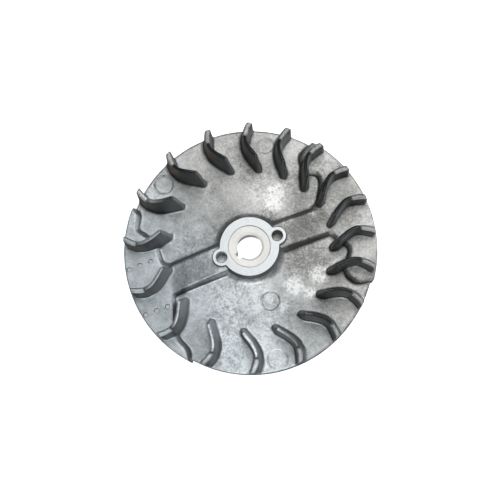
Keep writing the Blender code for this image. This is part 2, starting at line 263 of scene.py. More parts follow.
def corners_rounded(points, reach, steps):
    """Replace each inner corner of a line by a curve that starts and ends at reach from it."""
    line = [points[0]]
    most = 0.45               # of a side's length, so that neighbouring curves don't meet
    for before, corner, after in zip(points, points[1:], points[2:]):
        leave = corner.lerp(before, min(most, reach / (corner - before).length))
        enter = corner.lerp(after, min(most, reach / (corner - after).length))
        for i in range(steps + 1):
            t = i / steps
            line.append(leave.lerp(corner, t).lerp(corner.lerp(enter, t), t))
    line.append(points[-1])
    return line


def shifted_left(line, distance):
    """Move each point of a line to its left by a distance."""
    moved = []
    for i, point in enumerate(line):
        along = line[min(i + 1, len(line) - 1)] - line[max(i - 1, 0)]
        left = Vector((-along.y, along.x)).normalized()
        moved.append(point + left * distance)
    return moved


def lobe_outline(edge, growth):
    """Outline of a lobe, its inner edge moved out by growth and closed along the lobe's radius."""
    corners = [polar(angle, share * DISC_RADIUS) for angle, share in edge]
    line = shifted_left(corners_rounded(corners, LOBE_CORNER, 6), growth)
    first = math.degrees(math.atan2(line[0].y, line[0].x))
    last = math.degrees(math.atan2(line[-1].y, line[-1].x))
    sweep = (last - first) % 360
    line[0] = polar(first, LOBE_RADIUS)
    line[-1] = polar(last, LOBE_RADIUS)
    steps = 60
    arc = [polar(last - sweep * i / steps, LOBE_RADIUS) for i in range(1, steps)]
    return line + arc


def lobe(name, edge):
    """A raised lobe: upright behind the web, flared at its foot, drafted up to its face."""
    # (height, growth of the outline)
    levels = ((0.0, LOBE_DRAFT), (RIM_Z - 2.0, LOBE_DRAFT),
              (RIM_Z - 1.0, LOBE_DRAFT + 0.5 * FOOT_FLARE),
              (RIM_Z + 2.2, LOBE_DRAFT + 0.2), (LOBE_Z, -LOBE_DRAFT))
    bm = bmesh.new()
    loft(bm, [at_height(lobe_outline(edge, growth), z) for z, growth in levels])
    return object_from(bm, name)


def arms():
    """Two flat bands from the hub to the lobes, with drafted sides and a flare at their foot."""
    bm = bmesh.new()
    wide = ARM_HALF_WIDTH + ARM_DRAFT
    for angle in BOTH_WAYS:
        rings = []
        for along, top in ARM_TOP:
            ground = web_front(along)
            knee = min(ground + 1.8, top - 0.5)
            side = ((wide + FOOT_FLARE, ground - 1.0), (wide - 0.2, knee), (ARM_HALF_WIDTH, top))
            section = [*side, *((-v, z) for v, z in reversed(side))]
            rings.append([(*in_direction(angle, along, v), z) for v, z in section])
        loft(bm, rings)
    return object_from(bm, "arm_bands")


def blade_angle(index):
    """Direction of a blade's tip: the blades are closer together on one side of the wheel."""
    step = 360 / BLADE_COUNT * index
    return BLADE_START + step - BLADE_SHIFT * math.sin(math.radians(step - BLADE_PHASE))


def between(values, position):
    """Value at a position along a list, on a smooth curve through its entries."""
    i = min(int(position), len(values) - 2)
    t = position - i
    last = len(values) - 1
    a, b, c, d = (values[min(max(k, 0), last)] for k in (i - 1, i, i + 1, i + 2))
    curve = (2 * b + (c - a) * t + (2 * a - 5 * b + 4 * c - d) * t * t
             + (3 * b - a - 3 * c + d) * t ** 3)
    return curve / 2


def straight_between(values, position):
    """Value at a position along a list, on straight lines through its entries."""
    i = min(int(position), len(values) - 2)
    return values[i] + (values[i + 1] - values[i]) * (position - i)


def blade_wall(half, run, ground, top):
    """One side of a blade's section as (side, z): its foot, the fillet, the wall and the ridge."""
    knee = min(ground + BLADE_FOOT, top - 1.0)
    shoulder = min(BLADE_SHOULDER, (top - knee) / 2)
    return ((half + run, ground - FOOT_BURIED), (half + run * 0.7, ground + 0.6),
            (half + run * 0.42, knee), (half + 0.15, top - shoulder), (half * 0.62, top))


def blade_rings(index):
    """Cross-sections of one blade from its tip inwards, square to the path of its ridge."""
    turn = blade_angle(index)
    shares, offsets = zip(*BLADE_PATH)
    stations = [i / BLADE_SPANS for i in range((len(BLADE_PATH) - 1) * BLADE_SPANS + 1)]
    ridge = [polar(turn + between(offsets, s), between(shares, s) * DISC_RADIUS) for s in stations]
    rings = []
    for i, (s, point) in enumerate(zip(stations, ridge)):
        along = ridge[min(i + 1, len(ridge) - 1)] - ridge[max(i - 1, 0)]
        inwards = (-point.normalized()).lerp(along.normalized(), min(s, 1.0))
        clockwise = Vector((-inwards.y, inwards.x)).normalized()
        ground = web_front(point.length)
        top = straight_between(BLADE_TOP, s)
        half = straight_between(BLADE_TOP_HALF, s)
        right = BLADE_RUN_CW * straight_between(BLADE_NARROWING, s)
        left = BLADE_RUN_CCW * straight_between(BLADE_SPREAD, s)
        section = [*blade_wall(half, right, ground, top),
                   *((-side, z) for side, z in reversed(blade_wall(half, left, ground, top)))]
        rings.append([(*(point + clockwise * side), z) for side, z in section])
    return rings


def blade(index):
    bm = bmesh.new()
    loft(bm, blade_rings(index))
    return object_from(bm, f"fan_blade_{index + 1}")


def disc_profile():
    """Ring section of hub, web, skirt and boss, with stock left on the hub face."""
    hub_top = HUB_TOP_Z + FACING_STOCK
    wall_foot = HUB_RADIUS + HUB_WALL_RUN
    skirt = DISC_RADIUS - SKIRT_WIDTH
    hub = [(CORE_RADIUS, hub_top), (HUB_RADIUS - 0.2, hub_top), (HUB_RADIUS + 0.1, hub_top - 1.0),
           (HUB_RADIUS + 0.35 * HUB_WALL_RUN, web_front(wall_foot) + 3.5),
           (HUB_RADIUS + 0.8 * HUB_WALL_RUN, web_front(wall_foot) + 1.3),
           (wall_foot + 0.5 * FOOT_FLARE, web_front(wall_foot) + 0.3),
           (wall_foot + FOOT_FLARE, web_front(wall_foot + FOOT_FLARE))]
    front = [(radius, web_front(radius))
             for radius in np.linspace(28.0, DISC_RADIUS - 5.0, 14).tolist()]
    rim = [(DISC_RADIUS - RIM_ROUND, RIM_Z), (DISC_RADIUS - 0.35 * RIM_ROUND, RIM_Z - 0.35),
           (DISC_RADIUS, RIM_Z - RIM_ROUND), (DISC_RADIUS, RIM_ROUND),
           (DISC_RADIUS - 0.35 * RIM_ROUND, 0.35), (DISC_RADIUS - RIM_ROUND, 0.0)]
    skirt_inside = [(skirt + SKIRT_DRAFT, 0.0), (skirt, web_back(skirt) - 2.0),
                    (skirt - 0.7, web_back(skirt) - 0.6), (skirt - 2.0, web_back(skirt))]
    back = [(radius, web_back(radius))
            for radius in np.linspace(70.0, BOSS_RADIUS + 6.0, 10).tolist()]
    boss = [(BOSS_RADIUS + 1.0, web_back(BOSS_RADIUS) - 2.5), (BOSS_RADIUS, BOSS_Z),
            (CORE_RADIUS, BOSS_Z)]
    return hub + front + rim + skirt_inside + back + boss


def puller_ears():
    """Round swellings of the hub's wall that carry the puller holes."""
    bm = bmesh.new()
    for angle in BOTH_WAYS:
        centre = polar(angle, PULLER_PITCH_RADIUS)
        foot = circle(centre, PULLER_EAR_RADIUS + PULLER_EAR_DRAFT)
        face = circle(centre, PULLER_EAR_RADIUS)
        loft(bm, [at_height(foot, RIM_Z + 1.5), at_height(face, HUB_TOP_Z + FACING_STOCK)])
    return object_from(bm, "puller_ears")


def back_ribs():
    """Straight ribs from the boss to the skirt, a little narrower at their open edge."""
    bm = bmesh.new()
    reach = (BOSS_RADIUS - 1.0, DISC_RADIUS - SKIRT_WIDTH + 1.0)
    for index in range(RIB_COUNT):
        angle = HUB_ANGLE + 90 + 360 / RIB_COUNT * (index - RIB_COUNT / 2)
        loft(bm, [at_height(box_outline(angle, reach, half), z)
                  for half, z in ((RIB_HALF_WIDTH - RIB_DRAFT, RIB_Z), (RIB_HALF_WIDTH, RIM_Z - 3.0))])
    return object_from(bm, "back_ribs")


def rough_casting():
    """The turned disc with everything cast onto it, still with sharp edges."""
    casting = turned("flywheel_casting_visual", disc_profile(), DISC_STEPS)
    for cast_on in (lobe("counterweight_lobe", RIGHT_LOBE_EDGE), lobe("magnet_lobe", LEFT_LOBE_EDGE),
                    arms(), puller_ears(), back_ribs(), *map(blade, range(BLADE_COUNT))):
        combine(casting, cast_on, "UNION")
    return casting


def soften(casting):
    """Join everything into one even skin, round its edges and deepen the fillets on the web."""
    skin = casting.modifiers.new("skin", "REMESH")
    skin.mode = "VOXEL"
    skin.voxel_size = CAST_VOXEL * MM
    smooth = casting.modifiers.new("soften", "SMOOTH")
    smooth.factor = SOFTEN_FACTOR
    smooth.iterations = SOFTEN_ROUNDS
    bake_modifiers(casting)
    places = positions(casting.data)
    height = places[:, 2]
    away = from_axis(places)
    front = (height > RIM_Z - 1.0) & (away > HUB_RADIUS) & (away < DISC_RADIUS - 2.0)
    low = np.clip((FILLET_TOP_Z - height) / FILLET_FADE, 0.0, 1.0) * front
    group = casting.vertex_groups.new(name="fillets")
    for index in np.flatnonzero(low):
        group.add((int(index),), float(low[index]), "REPLACE")
    fillets = casting.modifiers.new("fillets", "SMOOTH")
    fillets.factor = SOFTEN_FACTOR
    fillets.iterations = FILLET_ROUNDS
    fillets.vertex_group = group.name
    bake_modifiers(casting)


def positions(mesh):
    """Places of a mesh's vertices in millimetres."""
    found = np.zeros(len(mesh.vertices) * 3, np.float32)
    mesh.vertices.foreach_get("co", found)
    return found.reshape(-1, 3).astype(float) / MM


def set_positions(mesh, places):
    mesh.vertices.foreach_set("co", (places * MM).astype(np.float32).ravel())
    mesh.update()


def normals_of(mesh):
    found = np.zeros(len(mesh.vertices) * 3, np.float32)
    mesh.vertex_normals.foreach_get("vector", found)
    return found.reshape(-1, 3)


def from_axis(places, x=0.0, y=0.0):
    return np.hypot(places[:, 0] - x, places[:, 1] - y)


def press_marks(casting):
    """Ejector pin circles and a plain round stamp, as shallow lines in the front faces."""
    mesh = casting.data
    places = positions(mesh)
    faces_up = (normals_of(mesh)[:, 2] > 0.85) & (places[:, 2] < MARKS_BELOW_Z)
    for x, y, radius, depth in (*EJECTOR_MARKS, STAMP_MARK):
        outside = from_axis(places, x, y) - radius
        line = np.exp(-(outside / MARK_LINE_WIDTH) ** 2)
        dish = MARK_DISH / (1.0 + np.exp(outside / MARK_DISH_FADE))
        places[:, 2] -= np.where(faces_up, depth * (line + dish), 0.0)
    set_positions(mesh, places)


def keep_size(casting):
    """Hold the softened skin inside the wheel's real rim, lobes and back plane."""
    places = positions(casting.data)
    away = from_axis(places)
    on_lobe = away > (DISC_RADIUS + LOBE_RADIUS) / 2
    held = np.where(on_lobe, np.minimum(away, LOBE_RADIUS - SIZE_MARGIN), away)
    places[:, :2] *= (held / away)[:, None]
    places[:, 1] = np.clip(places[:, 1], -DISC_RADIUS, DISC_RADIUS)
    places[:, 2] = np.maximum(places[:, 2], 0.0)
    set_positions(casting.data, places)


def roughen(casting):
    """Slow unevenness of the cast skin, a few hundredths of a millimetre."""
    mesh = casting.data
    places = positions(mesh)
    waves = np.array([sum(height * noise.noise(Vector(p) / size) for size, height in SKIN_WAVES)
                      for p in places])
    set_positions(mesh, places + normals_of(mesh) * waves[:, None])


def shoe_room(side):
    """Outline of a pole shoe with the gap round it, open through the rim of the lobe."""
    near, far = SHOE_NEAR_V - GAP, SHOE_FAR_V + GAP
    inner = SHOE_INNER_U - GAP
    steps = 12
    points = [(inner, near)]
    for i in range(steps + 1):
        v = near + (far - near) * i / steps
        points.append((math.sqrt(LOBE_RADIUS ** 2 - v ** 2) + RIM_OVERRUN, v))
    points += [(inner + SHOE_CHAMFER, far), (inner, far - SHOE_CHAMFER)]
    return [in_direction(GROUP_ANGLE, u, side * v) for u, v in points[::side]]


def box_outline(angle, u_range, half_length):
    """Rectangle between two distances along a direction and evenly to both sides of it."""
    near, far = u_range
    corners = ((near, -half_length), (far, -half_length), (far, half_length), (near, half_length))
    return [in_direction(angle, u, v) for u, v in corners]


def facing_cut():
    """What the lathe takes off: the stock left above the hub face."""
    bm = bmesh.new()
    cylinder(bm, AXIS, FACING_RADIUS, HUB_TOP_Z, HUB_TOP_Z + 6 * CUT_CLEARANCE, 96)
    return object_from(bm, "facing_cut")


def seat_cut():
    """The room for the steel insert, through hub and boss."""
    bm = bmesh.new()
    cylinder(bm, AXIS, INSERT_RADIUS + SEAT_GAP, BOSS_Z - 3 * CUT_CLEARANCE,
             HUB_TOP_Z + CUT_CLEARANCE, DISC_STEPS)
    return object_from(bm, "seat_cut")


def group_cuts():
    """The rooms of the pole shoes, magnet and pins, and the window behind the magnet."""
    low, high = STACK_Z - GAP, STACK_TOP_Z + GAP
    for side in (-1, 1):
        bm = bmesh.new()
        prism(bm, shoe_room(side), low, high)
        yield object_from(bm, "shoe_pocket")
    bm = bmesh.new()
    magnet_room = (MAGNET_U[0] - GAP, MAGNET_U[1] + GAP)
    prism(bm, box_outline(GROUP_ANGLE, magnet_room, SHOE_NEAR_V + 1.0), low, high)
    yield object_from(bm, "magnet_pocket")
    bm = bmesh.new()
    window = box_outline(GROUP_ANGLE, WINDOW_U, WINDOW_HALF_LENGTH)
    prism(bm, window, -CUT_CLEARANCE, STACK_Z + CUT_CLEARANCE)
    for side in (-1, 1):
        for u in PIN_U:
            centre = in_direction(GROUP_ANGLE, u, side * PIN_V)
            cylinder(bm, centre, PIN_RADIUS + GAP, -CUT_CLEARANCE, LOBE_Z + 2 * CUT_CLEARANCE, 32)
    yield object_from(bm, "window_and_pin_holes")


def drilled_cut():
    """The puller holes in the hub face and the balance drillings in the back."""
    bm = bmesh.new()
    for angle in BOTH_WAYS:
        centre = polar(angle, PULLER_PITCH_RADIUS)
        countersunk(bm, centre, PULLER_HOLE_RADIUS, HUB_TOP_Z - PULLER_HOLE_DEPTH, HUB_TOP_Z, 0.5)
    for angle, radius in BALANCE_HOLES:
        cylinder(bm, polar(angle, radius), BALANCE_HOLE_RADIUS, -CUT_CLEARANCE, BALANCE_DEPTH)
    return object_from(bm, "drilled_cut")


def make_casting(surface):
    """Cast it, soften it, press its marks, then cut its faces, seats and holes sharp."""
    casting = rough_casting()
    soften(casting)
    press_marks(casting)
    roughen(casting)
    keep_size(casting)
    for cut in (facing_cut(), seat_cut(), *group_cuts(), drilled_cut()):
        combine(casting, cut, "DIFFERENCE")
    finish_piece(casting, surface, CASTING_SHARP_DEGREES)
    return casting


def make_insert(surface):
    """The steel insert: turned rings on its face, chamfered taper and keyway."""
    top = HUB_TOP_Z - INSERT_RECESS
    inner, outer = BORE_RADIUS + BORE_CHAMFER, INSERT_RADIUS - INSERT_EDGE
    face = [(inner + (outer - inner) * i / TURNED_RINGS, top - TURNED_DEPTH * (i % 2))
            for i in range(TURNED_RINGS + 1)]
    back_radius = BORE_RADIUS + BORE_TAPER * (top - BOSS_Z)
    profile = face + [(INSERT_RADIUS, top - INSERT_EDGE), (INSERT_RADIUS, BOSS_Z + INSERT_EDGE),
                      (outer, BOSS_Z), (back_radius + BORE_BACK_EDGE, BOSS_Z),
                      (back_radius, BOSS_Z + BORE_BACK_EDGE), (BORE_RADIUS, top - BORE_CHAMFER)]
    insert = turned("hub_insert_visual", profile, DISC_STEPS)
    bm = bmesh.new()
    key = box_outline(KEY_ANGLE, (CORE_RADIUS, BORE_RADIUS + KEY_DEPTH), KEY_WIDTH / 2)
    prism(bm, key, BOSS_Z - CUT_CLEARANCE, HUB_TOP_Z + CUT_CLEARANCE)
    combine(insert, object_from(bm, "key_cut"), "DIFFERENCE")
    finish_piece(insert, surface, INSERT_SHARP_DEGREES)
    return insert


def finish_piece(piece, surface, sharp_degrees):
    """Paint a piece and shade it smooth except at its sharp edges."""
    piece.data.materials.clear()
    piece.data.materials.append(surface)
    piece.data.shade_smooth()
    piece.data.set_sharp_from_angle(angle=math.radians(sharp_degrees))


class Surface:
    """A material whose nodes are added one call at a time."""

    def __init__(self, name):
        self.material = bpy.data.materials.new(name)
        self.material.use_nodes = True
        self.tree = self.material.node_tree
        self.shader = self.tree.nodes["Principled BSDF"]
        self.place = self.node("ShaderNodeTexCoord").outputs["Object"]

    def node(self, kind, **settings):
        made = self.tree.nodes.new(kind)
        for key, value in settings.items():
            setattr(made, key, value)
        return made

    def link(self, source, socket):
        """Feed a socket from an output, or set it to a number or a colour."""
        if isinstance(source, (int, float)):
            socket.default_value = source
        elif isinstance(source, tuple):
            socket.default_value = (*source, 1.0)
        else:
            self.tree.links.new(source, socket)

    def math(self, operation, a, b=0.0, clamp=False):
        made = self.node("ShaderNodeMath", operation=operation, use_clamp=clamp)
        self.link(a, made.inputs[0])
        self.link(b, made.inputs[1])
        return made.outputs[0]

    def plus(self, a, b, clamp=False):
        return self.math("ADD", a, b, clamp)

    def less(self, a, b):
        return self.math("SUBTRACT", a, b)

    def times(self, first, *others):
        for other in others:
            first = self.math("MULTIPLY", first, other)
        return first

    def outside(self, mask):
        """1 where a mask is 0, 0 where it is 1."""
        return self.less(1.0, mask)

    def noise(self, size_mm, detail=4.0, roughness=0.55):
        made = self.node("ShaderNodeTexNoise")
        made.inputs["Scale"].default_value = 1.0 / (size_mm * MM)
        made.inputs["Detail"].default_value = detail
        made.inputs["Roughness"].default_value = roughness
        self.link(self.place, made.inputs["Vector"])
        return made.outputs["Fac"]

    def ramp(self, value, low, high):
        """0 below low, 1 above high."""
        made = self.node("ShaderNodeMapRange", interpolation_type="SMOOTHSTEP")
        self.link(value, made.inputs["Value"])
        made.inputs["From Min"].default_value = low
        made.inputs["From Max"].default_value = high
        return made.outputs["Result"]

    def mix(self, share, a, b):
        """From colour a to colour b; the node's colour sockets have no names of their own."""
        made = self.node("ShaderNodeMix", data_type="RGBA")
        self.link(share, made.inputs["Factor"])
        self.link(a, made.inputs[6])
        self.link(b, made.inputs[7])
        return made.outputs[2]

    def radius(self, x=0.0, y=0.0):
        """Distance in metres from the axis, or from a parallel to it through a point."""
        flat = self.node("ShaderNodeVectorMath", operation="MULTIPLY")
        self.link(self.place, flat.inputs[0])
        flat.inputs[1].default_value = (1.0, 1.0, 0.0)
        away = self.node("ShaderNodeVectorMath", operation="DISTANCE")
        self.link(flat.outputs["Vector"], away.inputs[0])
        away.inputs[1].default_value = (x * MM, y * MM, 0.0)
        return away.outputs["Value"]

    def blob(self, x, y, radius, soft):
        """1 within a radius of a point on the front, fading over the soft share of it."""
        edge = radius * MM
        return self.outside(self.ramp(self.radius(x, y), edge * (1 - soft), edge * (1 + soft)))

    def beyond(self, low, high):
        """0 within one distance from the axis, 1 past another."""
        return self.ramp(self.radius(), low * MM, high * MM)

    def along(self, vector, direction):
        """How far a vector reaches along a direction."""
        made = self.node("ShaderNodeVectorMath", operation="DOT_PRODUCT")
        self.link(vector, made.inputs[0])
        made.inputs[1].default_value = direction
        return made.outputs["Value"]

    def towards(self, direction, low, high):
        """0 before one distance along a direction, 1 past another."""
        return self.ramp(self.along(self.place, direction), low * MM, high * MM)

    def facing(self, direction):
        """1 where the surface faces a direction, -1 where it faces away."""
        normal = self.node("ShaderNodeNewGeometry").outputs["Normal"]
        return self.along(normal, direction)

    def turned_rings(self, pitch_mm):
        return self.math("SINE", self.times(self.radius(), math.tau / (pitch_mm * MM)))

    def bump(self, height, strength, distance_mm, onto=None):
        made = self.node("ShaderNodeBump")
        made.inputs["Strength"].default_value = strength
        made.inputs["Distance"].default_value = distance_mm * MM
        self.link(height, made.inputs["Height"])
        if onto is not None:
            self.link(onto, made.inputs["Normal"])
        return made.outputs["Normal"]

    def finish(self, colour, metallic, roughness, normal):
        """Feed the shader and give the finished material."""
        self.link(colour, self.shader.inputs["Base Color"])
        self.shader.inputs["Metallic"].default_value = metallic
        self.link(roughness, self.shader.inputs["Roughness"])
        self.link(normal, self.shader.inputs["Normal"])
        return self.material


UP = (0.0, 0.0, 1.0)
RIGHTWARD = (1.0, 0.0, 0.0)
LEFTWARD = (-1.0, 0.0, 0.0)
UPPER_RIGHT = (0.7, 0.7, 0.0)
LOWER_LEFT = (-0.85, -0.52, 0.0)
RIDGE_SHADE_SIDE = (0.725, 0.688, 0.0)

# Where the casting's looks change, each from nothing to full
RAISED_Z = (LOBE_Z + 0.1, 24.0)
WARM_FROM = (-60.0, 30.0)         # along UPPER_RIGHT
STEEP_BELOW = (0.45, 0.975)       # upward part of the normal, here from full to nothing
SHADED_FACING = (-0.5, 0.3)
BROWN_RADII = (0.74 * DISC_RADIUS, 0.88 * DISC_RADIUS)
BROWN_ENDS_X = (25.0, 40.0)
# where the painted shade on the blade ridges lies
RIDGE_SHADE_Z = (37.6, 38.6)
RIDGE_SHADE_FROM = (-32.0, -18.0)        # along RIDGE_SHADE_SIDE
TIP_RADII = (74.0, 75.0)
TIP_Z = (28.0, 30.0)

# Colours of the casting
BLASTED_DARK = ((0.185, 0.212, 0.228), (0.200, 0.200, 0.191))     # cool, warm
BLASTED_LIGHT = ((0.74, 0.79, 0.82), (0.80, 0.80, 0.785))
HUB_FACE = ((0.44, 0.47, 0.485), (0.70, 0.72, 0.725))             # dark, light
# painted shade of the steep walls, as a lit and a shaded copy of their colour
PAINTED_WALL_SHADES = ((0.26, 0.28, 0.29), (0.060, 0.064, 0.066))               # lit, shaded
# brown tint on the outer walls that face left
FIN_BROWN = (0.25, 0.14, 0.075)
TIP_GREY = (0.12, 0.13, 0.13)
# painted shade of the blade ridges
RIDGE_SHADE_COLOUR = (0.02, 0.022, 0.024)

# Brighter patches of the front: (x, y, radius, strength)
BRIGHT_PATCHES = ((15.8, 34.0, 6.0, 0.8), (18.0, 42.0, 6.0, 0.7), (10.0, 40.0, 12.0, 0.25),
                  (48.5, -18.0, 5.0, 0.8), (41.7, -31.0, 3.5, 0.8), (31.0, -26.0, 5.5, 0.75),
                  (1.0, -37.0, 9.0, 0.7), (21.7, -40.0, 4.0, 0.6), (-10.0, -34.0, 20.0, 0.45),
                  (-2.0, -66.0, 26.0, 0.4), (27.0, 20.0, 4.0, 0.45), (44.0, 27.0, 3.0, 0.7),
                  (13.0, -35.5, 2.6, 0.9), (-70.0, 30.0, 14.0, 0.2), (-36.0, 4.0, 14.0, 0.2),
                  (64.0, -10.0, 5.0, 0.3))
# Duller, greyer patches
DULL_PATCHES = ((-28.0, 12.0, 10.0, 0.15), (37.0, 14.0, 18.0, 0.8), (63.0, 18.0, 26.0, 0.6),
                (58.0, -44.0, 20.0, 0.5), (12.0, 22.0, 9.0, 0.7), (-40.0, -12.0, 12.0, 0.3),
                (42.0, 52.0, 26.0, 0.6), (-5.0, 62.0, 34.0, 0.35), (40.0, -4.0, 18.0, 0.9),
                (72.0, -25.0, 22.0, 0.5), (-8.0, 32.0, 26.0, 0.2), (28.0, -46.0, 16.0, 0.35))


def patches(s, places):
    """Strength of the strongest patch at each point."""
    total = 0.0
    for x, y, radius, strength in places:
        total = s.math("MAXIMUM", total, s.times(s.blob(x, y, radius, 0.75), strength))
    return total


def blasted_lightness(s, cloud, grain):
    """Lightness of the blasted faces, 0 to 1: mottling, bright and dull patches, speckle."""
    bright = patches(s, BRIGHT_PATCHES)
    dull = patches(s, DULL_PATCHES)
    mottle = s.ramp(s.noise(24.0, detail=6.0, roughness=0.6), 0.32, 0.70)
    clouds = s.times(s.ramp(cloud, 0.3, 0.7), 0.4)
    base = s.plus(s.times(s.plus(mottle, clouds), 0.36), 0.21)
    flecks = s.ramp(s.noise(3.0, detail=5.0, roughness=0.7), 0.38, 0.62)
    base = s.plus(base, s.times(bright, s.plus(0.35, s.times(flecks, 0.9))))
    base = s.less(base, s.times(dull, 0.42))
    in_patch = s.math("MAXIMUM", dull, bright)
    speckle = s.times(s.less(grain, 0.5), s.plus(0.5, s.times(in_patch, 1.5)))
    return s.plus(base, speckle, clamp=True)


def painted_wall_shade_mask(s, raised):
    """The steep walls on the front, which take painted shade: steep faces, without the bore, the holes
    and the rim.
    """
    slope = s.plus(s.facing(UP), s.times(raised, 0.25))
    steep = s.outside(s.ramp(slope, *STEEP_BELOW))
    in_holes = s.math("MAXIMUM", *(s.blob(*polar(angle, PULLER_PITCH_RADIUS),
                                          PULLER_HOLE_RADIUS + 0.3, 0.05) for angle in BOTH_WAYS))
    past_insert = s.beyond(INSERT_RADIUS + 0.5, INSERT_RADIUS + 1.5)
    on_rim = s.beyond(DISC_RADIUS - 1.2, DISC_RADIUS - 0.7)
    on_front = s.towards(UP, RIM_Z - 2.0, RIM_Z - 1.0)
    return s.times(steep, s.outside(in_holes), past_insert, s.outside(on_rim), on_front)


def painted_wall_shade_colour(s, raised, cloud):
    """Painted shade on the walls, darker where a wall faces the lower left; brown where an outer, left
    one faces left.
    """
    shaded = s.ramp(s.facing(LOWER_LEFT), *SHADED_FACING)
    leftward = s.ramp(s.facing(LEFTWARD), 0.0, 0.7)
    on_right = s.towards(RIGHTWARD, *BROWN_ENDS_X)
    browned = s.times(s.beyond(*BROWN_RADII), leftward, raised, s.ramp(cloud, 0.1, 0.5),
                      s.outside(on_right), 0.75)
    return s.mix(browned, s.mix(shaded, *PAINTED_WALL_SHADES), FIN_BROWN)


def painted_ridge_shade_mask(s):
    """Painted shade on the ridges of the blades, not at the lower left, with a painted highlight line
    left lighter on their very top.
    """
    upward = s.facing(UP)
    crest_highlight = s.times(s.ramp(upward, 0.93, 0.995), 0.55)
    facing_up = s.times(s.ramp(upward, 0.3, 0.7), s.outside(crest_highlight))
    return s.times(s.towards(UP, *RIDGE_SHADE_Z), s.towards(RIDGE_SHADE_SIDE, *RIDGE_SHADE_FROM),
                   s.times(facing_up, 0.95))


def hub_face_mask(s):
    machined = s.towards(UP, HUB_TOP_Z - 0.2, HUB_TOP_Z - 0.1)
    return s.times(machined, s.outside(s.beyond(FACING_RADIUS, FACING_RADIUS + 1.0)))


def hub_face_colour(s, cloud):
    tone = s.plus(0.5, s.times(s.turned_rings(1.3), 0.16))
    tone = s.plus(tone, s.times(s.less(cloud, 0.5), 1.2), clamp=True)
    return s.mix(tone, *HUB_FACE)


def aluminium():
    """Die-cast aluminium: mottled blasted faces, painted shade on the steep walls and blade ridges, a
    turned hub face.
    """
    s = Surface("cast_aluminium_visual")
    cloud = s.noise(6.0, detail=5.0, roughness=0.6)
    grain = s.noise(1.5, detail=4.0, roughness=0.7)
    fine = s.noise(0.5, detail=2.0, roughness=0.5)
    warm = s.towards(UPPER_RIGHT, *WARM_FROM)
    colour = s.mix(blasted_lightness(s, cloud, grain), s.mix(warm, *BLASTED_DARK),
                   s.mix(warm, *BLASTED_LIGHT))
    raised = s.towards(UP, *RAISED_Z)
    # painted shade on the steep walls of the front
    colour = s.mix(s.times(painted_wall_shade_mask(s, raised), 0.96), colour, painted_wall_shade_colour(s, raised, cloud))
    tip = s.times(s.beyond(*TIP_RADII), s.towards(UP, *TIP_Z))
    colour = s.mix(s.times(tip, 0.35), colour, TIP_GREY)
    # painted shade on the blade ridges, with a painted highlight line along their crests
    ridge_shade = painted_ridge_shade_mask(s)
    colour = s.mix(ridge_shade, colour, RIDGE_SHADE_COLOUR)
    colour = s.mix(hub_face_mask(s), colour, hub_face_colour(s, cloud))
    roughness = s.less(s.plus(0.34, s.times(cloud, 0.25)), s.times(ridge_shade, 0.15))
    skin = s.bump(s.plus(grain, s.times(fine, 0.5)), strength=0.45, distance_mm=0.16)
    skin = s.bump(cloud, strength=0.35, distance_mm=0.5, onto=skin)
    return s.finish(colour, metallic=0.85, roughness=roughness, normal=skin)


def hub_steel():
    """Turned steel with its own turned rings, its colour raised nearly to white as a painted highlight
    of the studio's lights.
    """
    s = Surface("hub_steel_visual")
    rings = s.turned_rings(0.9)
    wobble = s.noise(1.5, 3.0)
    tone = s.plus(s.times(rings, 0.12), wobble, clamp=True)
    return s.finish(s.mix(tone, (0.86, 0.845, 0.80), (1.0, 0.99, 0.96)), metallic=0.25,
                    roughness=s.plus(0.3, s.times(wobble, 0.2)),
                    normal=s.bump(rings, strength=0.25, distance_mm=0.05))


def lamination_steel():
    """Stamped steel with a little rust."""
    s = Surface("lamination_steel_visual")
    stains = s.noise(4.0, 5.0, 0.6)
    scratch = s.noise(0.5, 3.0)
    colour = s.mix(s.ramp(stains, 0.5, 0.75), (0.30, 0.30, 0.31), (0.17, 0.10, 0.06))
    return s.finish(s.mix(s.times(scratch, 0.4), colour, (0.5, 0.5, 0.51)), metallic=0.9,
                    roughness=s.plus(0.3, s.times(stains, 0.3)),
                    normal=s.bump(scratch, strength=0.3, distance_mm=0.05))


def magnet_black():
    s = Surface("magnet_visual")
    grain = s.noise(0.8, 4.0, 0.6)
    return s.finish(s.mix(grain, (0.035, 0.035, 0.04), (0.10, 0.10, 0.105)), metallic=0.3,
                    roughness=s.plus(0.45, s.times(grain, 0.3)),
                    normal=s.bump(grain, strength=0.4, distance_mm=0.1))


def pin_steel():
    s = Surface("pin_steel_visual")
    stains = s.noise(1.6, 4.0, 0.6)
    return s.finish(s.mix(stains, (0.30, 0.33, 0.35), (0.58, 0.62, 0.64)), metallic=0.9,
                    roughness=s.plus(0.35, s.times(stains, 0.25)),
                    normal=s.bump(stains, strength=0.3, distance_mm=0.06))


def repaint(piece, surface):
    for slot in piece.material_slots:
        slot.link = "OBJECT"
        slot.material = surface


# The room round the wheel: (share of the way from straight down to straight up, colour)
ROOM_BANDS = ((0.10, (0.03, 0.022, 0.018, 1.0)), (0.24, (0.50, 0.50, 0.50, 1.0)),
              (0.50, (0.95, 0.95, 0.95, 1.0)), (0.60, (0.50, 0.51, 0.52, 1.0)),
              (0.95, (0.46, 0.48, 0.50, 1.0)))
ROOM_STRENGTH = 0.6
WHITE = (1.0, 1.0, 1.0)
# Name, place, width in metres, power in watts, colour
SOFTBOXES = (("softbox_top", (0.1, 0.3, 1.2), 0.7, 5.0, (1.0, 0.995, 0.985)),
             ("softbox_low", (0.05, -0.9, 0.8), 0.5, 5.0, WHITE),
             ("softbox_right", (0.9, 0.25, 0.55), 0.4, 2.4, WHITE))
FLOOR_HALF_WIDTH = 60.0   # metres, so that its edge is out of sight from the side
FLOOR_DROP = 0.0005       # metres below the wheel
FLOOR_GLOW = 0.9


